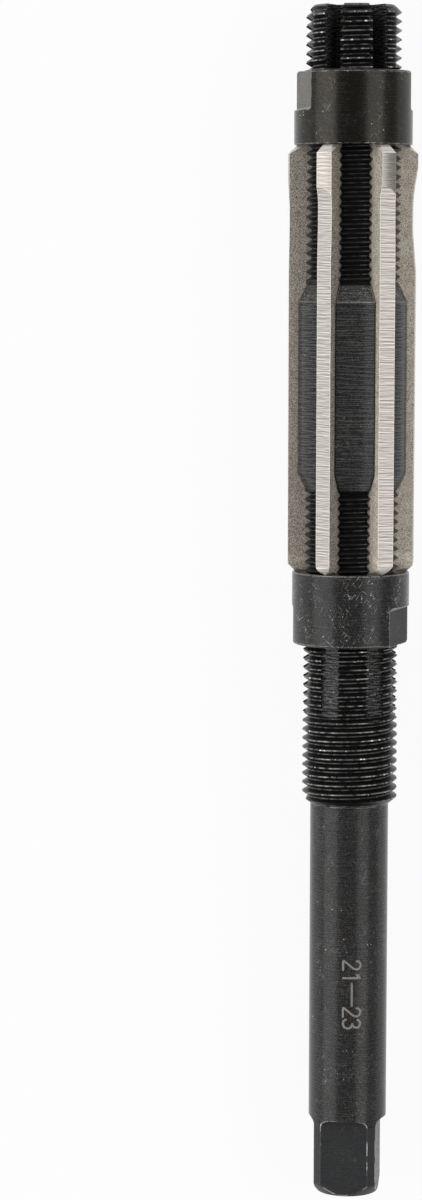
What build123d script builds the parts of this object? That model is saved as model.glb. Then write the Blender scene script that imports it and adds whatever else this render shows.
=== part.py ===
from build123d import *
import math
import os

# Adjustable hand reamer: a slotted and threaded bar, six sliding blades and two cone nuts
# Sizes are in millimetres and angles in degrees
# Stations are distances along the axis from the entry end
# Azimuths turn clockwise from the top, seen from the shank end, which is the way the tool cuts
# The tool lies on two of its blades: its axis is along Y, the entry end is at +Y and +Z is up

os.makedirs("parts", exist_ok=True)

# Cutting circle as the tool stands, and how far each blade can still move in and out from there
set_diameter = 21.6
blade_move_in = 0.3
blade_move_out = 0.7

# Places of the nuts at this setting
stub_length = 10.75
nut_gap = 71.0

# Threaded bar
thread_diameter = 16.0
thread_pitch = 1.5
thread_depth = 0.92
thread_crest_width = 0.19
centre_step = 1.2
entry_chamfer = 1.2
front_cone_length = 2.7
rear_cone_length = 2.5
front_thread_spare = 3.8
middle_thread_spare = 5.15
rear_thread_spare = 6.4
thread_end_taper = 1.1
centre_hole_diameter = 2.4
centre_hole_angle = 60.0
centre_drill_diameter = 1.0
centre_drill_depth = 2.4

# Shank and wrench square
shank_diameter = 13.2
shank_length = 55.05
square_across_flats = 10.5
square_length = 11.95
square_cutter_radius = 1.3
square_end_taper = 1.8
square_end_diameter = 10.2
square_azimuth = -9.8

# Slots for the blades
blade_count = 6
first_blade_azimuth = 30.0
slot_slope = 2.0
slot_rear_depth = 1.6
slot_end_spare = 0.15
slot_cutter_radius = 10.0
slot_side_clearance = 0.03
slot_floor_clearance = 0.03

# Blades: an unrelieved front length, a dip where the taper lead starts, then the full cutting land
blade_thickness = 2.7
front_land_length = 9.6
dip_depth = 0.27
dip_length = 3.0
lead_length = 7.0
back_taper = 0.04
relief_angle = 8.0
relief_wheel_radius = 30.0
blade_nose_drop = 0.1

# Nuts
nut_length = 12.2
nut_wall = 1.8
nut_flat_depth = 1.35
nut_flat_length = 6.5
nut_outer_chamfer = 0.35
nut_face_chamfer = 0.15
nut_lip = 0.4
nut_bore_clearance = 0.05
nut_bore_chamfer = 0.5
cone_half_angle = 45.0
cone_clearance = 0.05
front_flat_azimuth = -79.0
rear_flat_azimuth = 68.5

# How far a cutter shape stands clear of the work
cutter_reach = 1.0

# Radii
slope_tangent = math.tan(math.radians(slot_slope))
cone_tangent = math.tan(math.radians(cone_half_angle))
thread_radius = thread_diameter / 2
centre_radius = thread_radius + centre_step
shank_radius = shank_diameter / 2
nut_bore_radius = thread_radius + nut_bore_clearance
nut_radius = nut_bore_radius + nut_wall
cone_mouth_radius = nut_radius - nut_lip
blade_nose_radius = thread_radius - blade_nose_drop
land_radius = set_diameter / 2
edge_height = math.sqrt(land_radius**2 - (blade_thickness / 2) ** 2)

# Travel from this setting: the blades along the axis, and the nuts that push and follow them
travel_in = blade_move_in / slope_tangent
travel_out = blade_move_out / slope_tangent
front_nut_ratio = 1 - slope_tangent / cone_tangent
rear_nut_ratio = 1 + slope_tangent / cone_tangent

# Stations along the bar
front_nut_face = stub_length + nut_length
rear_nut_face = front_nut_face + nut_gap
centre_start = front_nut_face + travel_out * front_nut_ratio + front_thread_spare + front_cone_length
centre_end = rear_nut_face - travel_in * rear_nut_ratio - middle_thread_spare - rear_cone_length
thread_end = rear_nut_face + nut_length + travel_out * rear_nut_ratio + rear_thread_spare
shank_end = thread_end + shank_length
tool_length = shank_end + square_length
blade_azimuths = [first_blade_azimuth + 360.0 / blade_count * i for i in range(blade_count)]


def bevel_station(face, outwards, radius):
    """Station where a bevelled blade end has this radius, for the nut whose recess opens at face."""
    play = cone_clearance / math.sin(math.radians(cone_half_angle))
    return face - outwards * ((cone_mouth_radius - radius) / cone_tangent - play)


# Stations of the blades' square-cut noses
front_nose = bevel_station(front_nut_face, 1, blade_nose_radius)
rear_nose = bevel_station(rear_nut_face, -1, blade_nose_radius)
slot_straight_end = rear_nose + travel_out + slot_end_spare


def floor_radius(station):
    """Distance from the axis to the slot floor."""
    return thread_radius - slot_rear_depth + (station - rear_nut_face) * slope_tangent


def radial_plane(azimuth):
    """Plane through the axis: x is outwards at this azimuth, y is along the tool, z is the cutting way."""
    turn = math.radians(azimuth)
    outwards = (math.sin(turn), math.cos(turn), 0)
    cutting_way = (math.cos(turn), -math.sin(turn), 0)
    return Plane(origin=(0, 0, 0), x_dir=outwards, z_dir=cutting_way)


def outline(*corners):
    """Flat face through (radius, station) corners."""
    return make_face(Polyline(*corners, close=True).edges())


def turned(section):
    """Solid of revolution about the axis of a flat (radius, station) section."""
    return revolve(Plane.XZ * section, Axis.Z, 360)


def slab(azimuth, face, thickness):
    """Plate cut to a radial outline, half its thickness on each side of the plane through the axis."""
    return extrude(radial_plane(azimuth) * face, amount=thickness / 2, both=True)


def thread_grooves(start, first, last):
    """Section of the turns between two stations of a thread that begins at start, as rings."""
    opening = (thread_pitch - thread_crest_width) / 2
    turns = range(int((first - start) / thread_pitch), int((last - start) / thread_pitch))
    roots = [start + thread_pitch * (turn + 0.5) for turn in turns]
    return [
        outline((thread_radius, root - opening), (thread_radius - thread_depth, root), (thread_radius, root + opening))
        for root in roots
    ]


def threaded_bar():
    """The bar as it leaves the lathe, with its threads cut where they stand open outside the nuts."""
    section = outline(
        (0, 0),
        (thread_radius - entry_chamfer, 0),
        (thread_radius, entry_chamfer),
        (thread_radius, centre_start - front_cone_length),
        (centre_radius, centre_start),
        (centre_radius, centre_end),
        (thread_radius, centre_end + rear_cone_length),
        (thread_radius, thread_end - thread_end_taper),
        (shank_radius, thread_end),
        (shank_radius, tool_length - square_end_taper),
        (square_end_diameter / 2, tool_length),
        (0, tool_length),
    )
    front = thread_grooves(0.0, 0.0, stub_length)
    rear = thread_grooves(centre_end + rear_cone_length, rear_nut_face + nut_length, thread_end)
    return turned(section - (front + rear))


def blade_slot(azimuth):
    """Path of the slotting cutter: a floor that rises towards the shank, and the curve where it leaves."""
    slope = math.radians(slot_slope)
    clear = centre_radius + cutter_reach
    centre_r = floor_radius(slot_straight_end) + slot_cutter_radius * math.cos(slope)
    centre_s = slot_straight_end - slot_cutter_radius * math.sin(slope)
    path = outline(
        (floor_radius(-cutter_reach), -cutter_reach),
        (floor_radius(slot_straight_end), slot_straight_end),
        (clear, slot_straight_end),
        (clear, -cutter_reach),
    )
    path += Pos(centre_r, centre_s) * Circle(slot_cutter_radius)
    return slab(azimuth, path, blade_thickness + 2 * slot_side_clearance)


def square_flat(azimuth):
    """Path of the cutter along one side of the wrench square, with its curved step at the shank."""
    flat = square_across_flats / 2
    clear = shank_radius + cutter_reach
    path = outline(
        (flat, shank_end),
        (clear, shank_end),
        (clear, tool_length + cutter_reach),
        (flat, tool_length + cutter_reach),
    )
    path += Pos(flat + square_cutter_radius, shank_end) * Circle(square_cutter_radius)
    return slab(azimuth, path, 2 * clear)


def lathe_centre(end, inwards):
    """Centre hole in an end face: a cone with a short drilled hole below it."""
    mouth = centre_hole_diameter / 2
    drill = centre_drill_diameter / 2
    cone_depth = (mouth - drill) / math.tan(math.radians(centre_hole_angle / 2))
    section = outline(
        (0, end),
        (mouth, end),
        (drill, end + inwards * cone_depth),
        (drill, end + inwards * centre_drill_depth),
        (0, end + inwards * centre_drill_depth),
    )
    return turned(section)


def reamer_body():
    """The threaded and slotted bar with its wrench square and a lathe centre in each end."""
    cuts = [blade_slot(azimuth) for azimuth in blade_azimuths]
    cuts += [square_flat(square_azimuth + 90.0 * side) for side in range(4)]
    cuts += [lathe_centre(0.0, 1), lathe_centre(tool_length, -1)]
    return threaded_bar() - cuts


def blade_blank(azimuth):
    """Flat blade with a bottom edge on the slot floor, a round-ground top and bevelled ends."""
    bottom = min(floor_radius(front_nose), floor_radius(rear_nose)) - cutter_reach
    ground = outline(
        (bottom, front_nose),
        (blade_nose_radius, front_nose),
        (land_radius, bevel_station(front_nut_face, 1, land_radius)),
        (land_radius, bevel_station(rear_nut_face, -1, land_radius)),
        (blade_nose_radius, rear_nose),
        (bottom, rear_nose),
    )
    plate = outline(
        (floor_radius(front_nose) + slot_floor_clearance, front_nose),
        (land_radius + cutter_reach, front_nose),
        (land_radius + cutter_reach, rear_nose),
        (floor_radius(rear_nose) + slot_floor_clearance, rear_nose),
    )
    return turned(ground) & slab(azimuth, plate, blade_thickness)


def relief_cut(azimuth):
    """Wheel path that leaves the cutting edge high and slopes down to the blade's trailing side."""
    dip_start = front_nose + front_land_length + (land_radius - blade_nose_radius) / cone_tangent
    dip_end = dip_start + dip_length
    dip_height = edge_height - dip_depth
    clear = land_radius + cutter_reach
    path = outline(
        (dip_height, dip_start),
        (dip_height, dip_end),
        (edge_height, dip_end + lead_length),
        (edge_height - back_taper, rear_nose),
        (clear, rear_nose),
        (clear, dip_start),
    )
    path += Pos(dip_height + relief_wheel_radius, dip_start) * Circle(relief_wheel_radius)
    plane = radial_plane(azimuth)
    trailing = plane.z_dir * -1 - plane.x_dir * math.tan(math.radians(relief_angle))
    start = plane.z_dir * (blade_thickness / 2) - trailing * cutter_reach
    face = Location(start) * (plane * path)
    length = trailing.length * (blade_thickness + 2 * cutter_reach)
    return extrude(face, amount=length, dir=trailing.normalized())


def blade(azimuth):
    """One finished blade."""
    return blade_blank(azimuth) - relief_cut(azimuth)


def nut(face, outwards, flat_azimuth):
    """Cone nut: its recess opens at face, and its two wrench flats are at the far end."""
    far_end = face - outwards * nut_length
    cone_depth = (cone_mouth_radius - nut_bore_radius) / cone_tangent
    section = outline(
        (cone_mouth_radius, face),
        (nut_radius - nut_face_chamfer, face),
        (nut_radius, face - outwards * nut_face_chamfer),
        (nut_radius, far_end + outwards * nut_outer_chamfer),
        (nut_radius - nut_outer_chamfer, far_end),
        (nut_bore_radius + nut_bore_chamfer, far_end),
        (nut_bore_radius, far_end + outwards * nut_bore_chamfer),
        (nut_bore_radius, face - outwards * cone_depth),
    )
    flat_end = far_end + outwards * nut_flat_length
    path = outline(
        (nut_radius - nut_flat_depth, flat_end),
        (nut_radius + cutter_reach, flat_end),
        (nut_radius + cutter_reach, far_end - outwards * cutter_reach),
        (nut_radius - nut_flat_depth, far_end - outwards * cutter_reach),
    )
    return turned(section) - [slab(flat_azimuth + turn, path, 2 * nut_radius) for turn in (0.0, 180.0)]


# The tool rests on the lower corners of its bottom blades
corner_angle = math.degrees(math.asin(blade_thickness / 2 / land_radius))
bottom_angle = min(abs(180.0 - azimuth) for azimuth in blade_azimuths)
rest_height = land_radius * math.cos(math.radians(max(bottom_angle - corner_angle, 0.0)))
lying = Location((0, tool_length / 2, rest_height), (90, 0, 0))

pieces = {
    "reamer_body": reamer_body(),
    "front_nut": nut(front_nut_face, 1, front_flat_azimuth),
    "rear_nut": nut(rear_nut_face, -1, rear_flat_azimuth),
}
for number, azimuth in enumerate(blade_azimuths, start=1):
    pieces[f"blade_{number}"] = blade(azimuth)

for name, piece in pieces.items():
    export_step(lying * piece, f"parts/{name}.step")
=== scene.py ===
import logging
import math
from dataclasses import dataclass
from enum import Enum, IntEnum
from typing import Any, Callable, Optional, Sequence, Union

import bmesh
import bpy
import numpy as np
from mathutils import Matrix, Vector


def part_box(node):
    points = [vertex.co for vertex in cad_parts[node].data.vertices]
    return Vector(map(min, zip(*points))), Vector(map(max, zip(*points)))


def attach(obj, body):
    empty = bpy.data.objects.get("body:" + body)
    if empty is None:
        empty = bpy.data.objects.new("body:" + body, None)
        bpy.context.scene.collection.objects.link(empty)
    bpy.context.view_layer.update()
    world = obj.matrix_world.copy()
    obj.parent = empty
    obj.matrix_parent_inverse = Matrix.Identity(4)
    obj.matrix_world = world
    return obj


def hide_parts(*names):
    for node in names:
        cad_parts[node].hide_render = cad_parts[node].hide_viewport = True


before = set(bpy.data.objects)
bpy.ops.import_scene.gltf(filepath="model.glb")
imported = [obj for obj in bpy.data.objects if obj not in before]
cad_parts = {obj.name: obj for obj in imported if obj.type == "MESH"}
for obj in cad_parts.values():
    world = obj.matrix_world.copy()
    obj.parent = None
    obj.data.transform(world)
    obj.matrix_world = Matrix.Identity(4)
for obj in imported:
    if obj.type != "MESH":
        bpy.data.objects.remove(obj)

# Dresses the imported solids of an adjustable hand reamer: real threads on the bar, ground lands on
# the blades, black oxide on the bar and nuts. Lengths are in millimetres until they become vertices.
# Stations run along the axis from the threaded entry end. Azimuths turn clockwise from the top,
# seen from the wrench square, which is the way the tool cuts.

LOG = logging.getLogger("reamer")
MM = 0.001
FULL_TURN = 2.0 * math.pi
# Slack in millimetres when the place of a face is compared with a size
SLACK = 0.01
# Vertices this near each other, in metres, are one
SEAM = 2e-7
# Edges shorter than this, in metres, are taken out
HAIR = 1e-8
# Number of blades, azimuth of the first and degrees from each to the next
BLADES = 6
FIRST_BLADE = 30.0
BLADE_STEP = 360.0 / BLADES

Corner = tuple[float, float]
Sizes = tuple[float, float, float]
Spacing = Union[float, Sizes]
Bmesh = bmesh.types.BMesh
Piece = bpy.types.Object
Material = bpy.types.Material
Socket = bpy.types.NodeSocket
Value = Union[Socket, float]
Colour = Union[Socket, str]


class Slot(Enum):
    """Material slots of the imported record."""

    BLACK = "black_oxide_steel"
    GROUND = "ground_tool_steel"


# Frame of the tool


@dataclass(frozen=True)
class Frame:
    """Where the tool lies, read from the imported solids."""

    half_length: float
    axis_height: float

    @staticmethod
    def read() -> "Frame":
        """Reads the lying tool's place from its bar and its rear nut.

        Returns:
            The frame, in millimetres.
        """
        _, bar_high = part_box("reamer_body")
        low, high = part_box("rear_nut")
        return Frame(bar_high.y / MM, (low.z + high.z) / 2 / MM)

    def point(self, azimuth: float, radius: float, station: float, along: float = 0.0) -> Vector:
        """Turns tool measures into a vertex.

        Args:
            azimuth: degrees clockwise from the top.
            radius: distance outwards from the axis at that azimuth.
            station: distance from the entry end.
            along: distance in the cutting way, square to the azimuth.

        Returns:
            The point in metres in the row frame.
        """
        turn = math.radians(azimuth)
        x = radius * math.sin(turn) + along * math.cos(turn)
        up = radius * math.cos(turn) - along * math.sin(turn)
        return Vector((x, self.half_length - station, self.axis_height + up)) * MM

    def span(self, node: str) -> Corner:
        """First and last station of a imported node."""
        low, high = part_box(node)
        return self.half_length - high.y / MM, self.half_length - low.y / MM

    def measures(self, point: Vector, azimuth: float) -> Sizes:
        """Turns a vertex back into tool measures.

        Args:
            point: the vertex in metres.
            azimuth: degrees clockwise from the top.

        Returns:
            Its distance outwards at that azimuth, its distance in the cutting way and its station.
        """
        turn = math.radians(azimuth)
        x, up = point.x / MM, point.z / MM - self.axis_height
        outwards = x * math.sin(turn) + up * math.cos(turn)
        along = x * math.cos(turn) - up * math.sin(turn)
        return outwards, along, self.half_length - point.y / MM


def facing(polygon: Any, azimuth: float) -> float:
    """Share of a face's normal that points outwards at an azimuth."""
    turn = math.radians(azimuth)
    return polygon.normal.x * math.sin(turn) + polygon.normal.z * math.cos(turn)


# Mesh tools


def mesh_object(name: str, bm: Bmesh) -> Piece:
    """Makes an object of a bmesh, with its faces pointing outwards.

    Args:
        name: the object's name.
        bm: the mesh, which is freed.

    Returns:
        The new object, linked to the scene.
    """
    bmesh.ops.recalc_face_normals(bm, faces=bm.faces)
    mesh = bpy.data.meshes.new(name)
    bm.to_mesh(mesh)
    bm.free()
    obj = bpy.data.objects.new(name, mesh)
    bpy.context.scene.collection.objects.link(obj)
    return obj


def skin(bm: Bmesh, rows: Sequence[Sequence[Vector]], ring: bool = True) -> None:
    """Joins rows of points into quads.

    Args:
        bm: the mesh that takes them.
        rows: rows with the same number of points.
        ring: whether each row closes on itself.
    """
    verts = [[bm.verts.new(point) for point in row] for row in rows]
    count = len(rows[0])
    for one, two in zip(verts, verts[1:]):
        for i in range(count if ring else count - 1):
            j = (i + 1) % count
            bm.faces.new((one[i], one[j], two[j], two[i]))


def cap(bm: Bmesh, points: Sequence[Vector]) -> None:
    """Closes an end with one face over copies of these points."""
    bm.faces.new([bm.verts.new(point) for point in points])


def join_seams(bm: Bmesh) -> None:
    """Merges vertices that lie on each other."""
    bmesh.ops.remove_doubles(bm, verts=bm.verts, dist=SEAM)
    bmesh.ops.dissolve_degenerate(bm, edges=bm.edges, dist=HAIR)


def softened(corners: Sequence[Corner], reach: float, most: float = 0.45) -> list[Corner]:
    """Rounds the inner corners of a line a little, as a handled edge is.

    Args:
        corners: the points of the line.
        reach: how far the rounding runs along each side.
        most: the largest share of a side that it takes.

    Returns:
        The line with three points for each inner corner.
    """
    line = [corners[0]]
    for before, here, after in zip(corners, corners[1:], corners[2:]):
        ends = []
        for other in (before, after):
            gap = math.dist(other, here)
            share = min(reach / gap, most)
            ends.append((here[0] + (other[0] - here[0]) * share, here[1] + (other[1] - here[1]) * share))
        middle = tuple((ends[0][i] + ends[1][i]) / 4 + here[i] / 2 for i in (0, 1))
        line += [ends[0], middle, ends[1]]
    return line + [corners[-1]]


def clamped(share: float) -> float:
    """Keeps a share between 0 and 1."""
    return min(max(share, 0.0), 1.0)


def arc(centre: Corner, radius: float, first: float, last: float, steps: int) -> list[Corner]:
    """Points on an arc about (radius, station), where 0 degrees is outwards and 90 towards the square."""
    turns = np.radians(np.linspace(first, last, steps + 1))
    return [(centre[0] + radius * math.cos(t), centre[1] + radius * math.sin(t)) for t in turns]


def loft(name: str, rows: Sequence[Sequence[Vector]], ring: bool = True, closed: bool = True) -> Piece:
    """Makes a piece of rows of points.

    Args:
        name: the object's name.
        rows: its cross-sections.
        ring: whether each row closes on itself without repeating its first point.
        closed: whether a face closes each end.

    Returns:
        The new object.
    """
    bm = bmesh.new()
    skin(bm, rows, ring)
    if closed:
        for row in (rows[0], rows[-1]):
            cap(bm, row if ring else row[:-1])
    join_seams(bm)
    return mesh_object(name, bm)


def carve(target: Piece, cutter: Piece) -> None:
    """Cuts one closed mesh out of another.

    Args:
        target: the piece.
        cutter: what is cut out of it, which is deleted.
    """
    modifier = target.modifiers.new("cut", "BOOLEAN")
    modifier.object = cutter
    modifier.operation = "DIFFERENCE"
    modifier.solver = "MANIFOLD"
    graph = bpy.context.evaluated_depsgraph_get()
    result = bpy.data.meshes.new_from_object(target.evaluated_get(graph))
    target.modifiers.clear()
    old = target.data
    target.data = result
    bpy.data.meshes.remove(old)
    bpy.data.objects.remove(cutter)


def mill(
    target: Piece, place: Frame, azimuths: Sequence[float], outline: Sequence[Corner], half_width: float
) -> None:
    """Cuts plates out of a piece, each centred on a plane through the axis.

    Args:
        target: the piece.
        place: the tool's frame.
        azimuths: where the plates stand.
        outline: their (radius, station) outline.
        half_width: half their thickness.
    """
    bm = bmesh.new()
    for azimuth in azimuths:
        sides = [[place.point(azimuth, r, s, t) for r, s in outline] for t in (-half_width, half_width)]
        skin(bm, sides)
        for side in sides:
            cap(bm, side)
    join_seams(bm)
    carve(target, mesh_object("cutter", bm))


def shade(obj: Piece, sharp_angle: float) -> None:
    """Smooths the shading, apart from edges sharper than an angle in degrees."""
    obj.data.polygons.foreach_set("use_smooth", [True] * len(obj.data.polygons))
    obj.data.set_sharp_from_angle(angle=math.radians(sharp_angle))


def one_finish(_: Any) -> int:
    """Number of the only finish."""
    return 0


def dress(obj: Piece, finishes: Sequence[Material], choose: Callable[[Any], int] = one_finish) -> None:
    """Gives an object its finishes.

    Args:
        obj: the piece.
        finishes: its materials.
        choose: picks the number of the material for a polygon.
    """
    obj.data.materials.clear()
    for finish in finishes:
        obj.data.materials.append(finish)
    obj.data.polygons.foreach_set("material_index", [choose(p) for p in obj.data.polygons])


# Materials


def linear(colour: str) -> tuple[float, ...]:
    """Turns an sRGB colour into Blender's linear values, by the sRGB standard's own curve.

    Args:
        colour: the colour, as # and six hex digits.

    Returns:
        Red, green, blue and an alpha of 1.
    """
    parts = [int(colour[i : i + 2], 16) / 255 for i in (1, 3, 5)]
    values = [p / 12.92 if p <= 0.04045 else ((p + 0.055) / 1.055) ** 2.4 for p in parts]
    return (*values, 1.0)


def per_metre(size_mm: float) -> float:
    """Scale of a pattern whose features are this many millimetres apart."""
    return 1.0 / (size_mm * MM)


@dataclass
class Nodes:
    """Fills the node tree of a material or a world."""

    owner: Union[Material, bpy.types.World]

    def __post_init__(self) -> None:
        """Empties the tree."""
        self.owner.use_nodes = True
        self.tree = self.owner.node_tree
        self.tree.nodes.clear()

    def add(self, kind: str, links: Optional[dict] = None, **settings: Any) -> bpy.types.Node:
        """Adds a node.

        Args:
            kind: the node's type, without ShaderNode.
            links: values of its inputs by name or number; a socket is linked, a hex colour is made linear.
            settings: its attributes.

        Returns:
            The new node.
        """
        node = self.tree.nodes.new("ShaderNode" + kind)
        for key, value in settings.items():
            setattr(node, key, value)
        for key, value in (links or {}).items():
            if isinstance(value, Socket):
                self.tree.links.new(value, node.inputs[key])
            else:
                node.inputs[key].default_value = linear(value) if isinstance(value, str) else value
        return node

    def out(self, kind: str, links: Optional[dict] = None, **settings: Any) -> Socket:
        """Adds a node and gives its first output."""
        return self.add(kind, links, **settings).outputs[0]

    def math(self, operation: str, one: Value, two: Value = 0.0) -> Socket:
        """Joins two numbers, or changes one."""
        return self.out("Math", {0: one, 1: two}, operation=operation)

    def times(self, one: Value, two: Value) -> Socket:
        """Multiplies two numbers."""
        return self.math("MULTIPLY", one, two)

    def between(self, value: Socket, low: float, high: float, to: Corner = (0.0, 1.0)) -> Socket:
        """Spreads a value between two limits over another range, and clamps it."""
        links = {"Value": value, "From Min": low, "From Max": high, "To Min": to[0], "To Max": to[1]}
        return self.out("MapRange", links)

    def mix(self, share: Value, one: Colour, two: Colour) -> Socket:
        """Mixes two colours."""
        return self.add("Mix", {0: share, 6: one, 7: two}, data_type="RGBA").outputs[2]


@dataclass
class Recipe(Nodes):
    """Builds one finish from layers of colour and relief."""

    # Where most of a noise's values lie
    middle: Corner = (0.3, 0.7)
    streak_shift: float = 0.8
    # Limits of the agreement between the rounded and the real normal, on the face and on its edge
    edge_limits: Corner = (0.998, 0.965)
    edge_samples: int = 6
    speck_step: float = 0.02
    speck_blur: float = 0.3

    def __post_init__(self) -> None:
        """Adds the coordinates that ride with the piece."""
        super().__post_init__()
        self.place = self.add("TexCoord").outputs["Object"]

    def stretched(self, size: Spacing, tilt: float = 0.0, shift: float = 0.0) -> Socket:
        """Coordinates for a pattern.

        Args:
            size: millimetres between the pattern's features, all round or along x, y and z.
            tilt: degrees that it is turned about the vertical.
            shift: how far it is moved along y, in features.

        Returns:
            The coordinates.
        """
        turned = self.out("Mapping", {"Vector": self.place, "Rotation": (0.0, 0.0, math.radians(tilt))})
        sizes = size if isinstance(size, tuple) else (size,) * 3
        links = {"Vector": turned, "Scale": tuple(per_metre(s) for s in sizes), "Location": (0.0, shift, 0.0)}
        return self.out("Mapping", links)

    def noise(self, size: Spacing, detail: float, tilt: float = 0.0, shift: float = 0.0) -> Socket:
        """Noise from 0 to 1 over stretched coordinates."""
        links = {"Vector": self.stretched(size, tilt, shift), "Scale": 1.0, "Detail": detail}
        return self.out("TexNoise", links)

    def streaks(self, spacing: float, length: float, tilt: float = 0.0) -> Socket:
        """Fine lines across the tool, without the broad bands that plain noise has between them.

        Args:
            spacing: breadth of a line in millimetres.
            length: how far a line runs before it fades.
            tilt: degrees that the lines lean.

        Returns:
            A value that wavers about 0.5.
        """
        size = (length, spacing, length)
        here, beside = self.noise(size, 0.0, tilt), self.noise(size, 0.0, tilt, self.streak_shift)
        return self.math("ADD", self.math("SUBTRACT", here, beside), 0.5)

    def follow(self, pattern: Socket, low: float, high: float) -> Socket:
        """Lets a number run from low to high with a pattern, over the middle of its range."""
        return self.between(pattern, *self.middle, (low, high))

    def tint(self, colour: Socket, value: Socket, limits: Corner, share: float, new: str) -> Socket:
        """Mixes a new colour in, from nothing to its full share between two limits of a value."""
        return self.mix(self.between(value, *limits, (0.0, share)), colour, new)

    def masked(self, colour: Socket, mask: Socket, limit: Value, new: str) -> Socket:
        """Mixes a new colour in by the product of two masks."""
        return self.mix(self.times(mask, limit), colour, new)

    def specks(self, cell: float, size: float, share: float, seed: float) -> Socket:
        """Scattered round specks.

        Args:
            cell: their usual spacing in millimetres.
            size: the largest radius, as a share of the cell.
            share: the share of cells that hold one.
            seed: shifts the pattern.

        Returns:
            A mask that is 1 on a speck.
        """
        moved = self.out("Mapping", {"Vector": self.place, "Location": (seed * MM, 0.0, 0.0)})
        cells = self.add("TexVoronoi", {"Vector": moved, "Scale": per_metre(cell)}).outputs
        parts = self.add("SeparateColor", {0: cells["Color"]}).outputs
        chosen = self.between(parts[0], 1.0 - share, 1.0 - share + self.speck_step)
        inside = self.math("SUBTRACT", self.times(parts[1], size), cells["Distance"])
        return self.times(self.between(inside, 0.0, size * self.speck_blur), chosen)

    def axis_distance(self, axis_height: float) -> Socket:
        """Distance of a point from the tool's axis.

        Args:
            axis_height: height of the axis in millimetres.

        Returns:
            The distance in metres.
        """
        parts = self.add("SeparateXYZ", {0: self.place}).outputs
        up = self.math("SUBTRACT", parts[2], axis_height * MM)
        squares = [self.times(value, value) for value in (parts[0], up)]
        return self.math("SQRT", self.math("ADD", *squares))

    def edges(self, radius: float) -> tuple[Socket, Socket]:
        """Finds edges.

        Args:
            radius: how far from an edge it reaches, in millimetres.

        Returns:
            A normal that is rounded at edges, and a mask that is 1 on them.
        """
        rounded = self.out("Bevel", {"Radius": radius * MM}, samples=self.edge_samples)
        normal = self.add("NewGeometry").outputs["Normal"]
        same = self.add("VectorMath", {0: rounded, 1: normal}, operation="DOT_PRODUCT").outputs["Value"]
        return rounded, self.between(same, *self.edge_limits)

    def relief(self, height: Socket, depth: float, normal: Optional[Socket] = None) -> Socket:
        """Bumps the surface.

        Args:
            height: where it stands out, from 0 to 1.
            depth: how far, in millimetres.
            normal: the surface's normal before.

        Returns:
            The new normal.
        """
        links: dict = {"Height": height, "Distance": depth * MM, "Strength": 1.0}
        if normal is not None:
            links["Normal"] = normal
        return self.out("Bump", links)

    def finish(self, colour: Socket, roughness: Socket, normal: Socket, **shader: Any) -> Material:
        """Ends the material in one shader.

        Args:
            colour: base colour.
            roughness: roughness.
            normal: relief.
            shader: values of the shader's other sockets, with _ for a space.

        Returns:
            The finished material.
        """
        links: dict = {"Base Color": colour, "Roughness": roughness, "Normal": normal}
        links.update({key.replace("_", " "): value for key, value in shader.items()})
        self.add("OutputMaterial", {"Surface": self.out("BsdfPrincipled", links)})
        return self.owner


@dataclass(frozen=True)
class Finish:
    """A named finish, which a subclass lays down in layers."""

    name: str

    def build(self) -> Material:
        """Makes the material."""
        return self.lay(Recipe(bpy.data.materials.new(self.name)))

    def lay(self, r: Recipe) -> Material:
        """Lays the layers of colour and relief in a recipe and ends it."""
        raise NotImplementedError


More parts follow.
